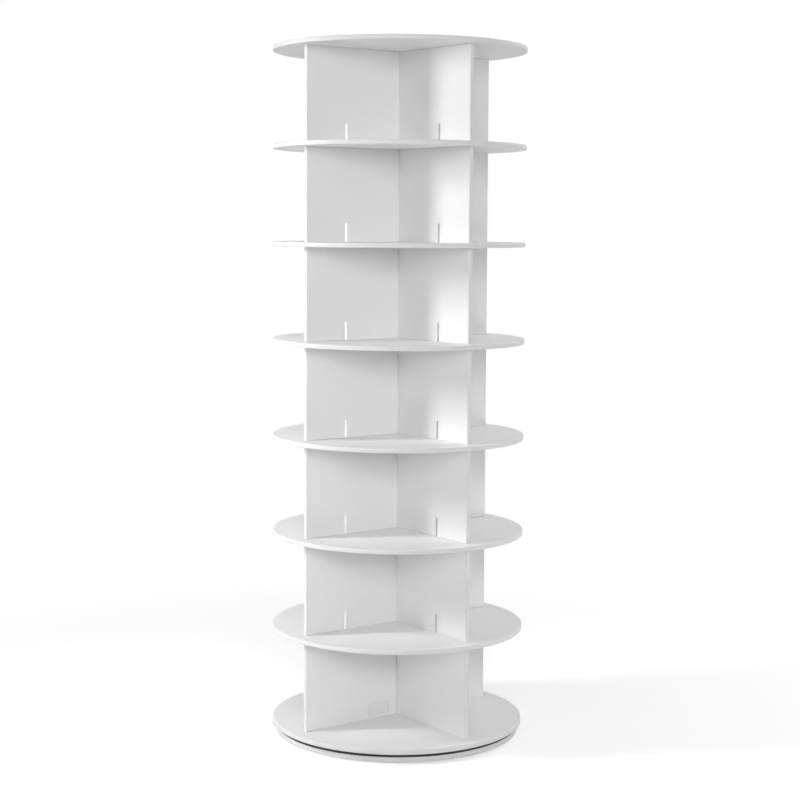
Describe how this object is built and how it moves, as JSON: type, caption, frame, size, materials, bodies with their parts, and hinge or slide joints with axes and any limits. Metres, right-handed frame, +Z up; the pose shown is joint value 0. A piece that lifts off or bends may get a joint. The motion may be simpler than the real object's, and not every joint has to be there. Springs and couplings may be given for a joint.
{
  "type": "rotating shoe tower",
  "caption": "Free-standing white shoe tower: round shelves in a stack, each tier split in quarters by crossed boards, turning on a ball-bearing base.",
  "frame": {"origin": "on the floor, on the turning axis, under the middle of the base disc", "axes": "+Z up along the turning axis, +X along the main dividers, -Y the side that the badge faces, which is the front"},
  "size_m": [0.45, 0.45, 1.226],
  "materials": {
    "white_board": "satin",
    "badge_plastic": "satin",
    "ring_aluminium": "satin",
    "steel": "satin",
    "cage_nylon": "matte",
    "pad_rubber": "matte"
  },
  "bodies": {
    "base": {"base_disc": "white_board", "floor_pad_1": "pad_rubber", "floor_pad_2": "pad_rubber", "floor_pad_3": "pad_rubber", "floor_pad_4": "pad_rubber", "bearing_inner_ring": "ring_aluminium", "inner_ring_screw_1": "steel", "inner_ring_screw_2": "steel", "inner_ring_screw_3": "steel"},
    "ball_set": {"ball_cage": "cage_nylon", "bearing_ball_1": "steel", "bearing_ball_2": "steel", "bearing_ball_3": "steel", "bearing_ball_4": "steel", "bearing_ball_5": "steel", "bearing_ball_6": "steel"},
    "tower": {"bearing_outer_ring": "ring_aluminium", "outer_ring_screw_1": "steel", "outer_ring_screw_2": "steel", "outer_ring_screw_3": "steel", "turning_disc": "white_board", "main_divider_1": "white_board", "main_divider_2": "white_board", "main_divider_3": "white_board", "main_divider_4": "white_board", "main_divider_5": "white_board", "main_divider_6": "white_board", "main_divider_7": "white_board", "cross_divider_1": "white_board", "cross_divider_2": "white_board", "cross_divider_3": "white_board", "cross_divider_4": "white_board", "cross_divider_5": "white_board", "cross_divider_6": "white_board", "cross_divider_7": "white_board", "shelf_1": "white_board", "shelf_2": "white_board", "shelf_3": "white_board", "shelf_4": "white_board", "shelf_5": "white_board", "shelf_6": "white_board", "top_plate": "white_board", "blank_badge": "badge_plastic", "bottom_screw_left": "steel", "bottom_screw_right": "steel", "shelf_1_pin_left": "steel", "shelf_1_pin_right": "steel", "shelf_2_pin_left": "steel", "shelf_2_pin_right": "steel", "shelf_3_pin_left": "steel", "shelf_3_pin_right": "steel", "shelf_4_pin_left": "steel", "shelf_4_pin_right": "steel", "shelf_5_pin_left": "steel", "shelf_5_pin_right": "steel", "shelf_6_pin_left": "steel", "shelf_6_pin_right": "steel", "top_screw_left": "steel", "top_screw_right": "steel"}
  },
  "joints": [
    {"name": "tower_spin", "type": "hinge", "parent": "base", "child": "tower", "pos_m": [0, 0, 0.0135], "axis": [0, 0, 1], "continuous": true},
    {"name": "ball_set_spin", "type": "hinge", "parent": "base", "child": "ball_set", "pos_m": [0, 0, 0.0135], "axis": [0, 0, 1], "continuous": true}
  ],
  "couplings": [
    {"joint": "ball_set_spin", "follows": "tower_spin", "ratio": 0.5}
  ]
}
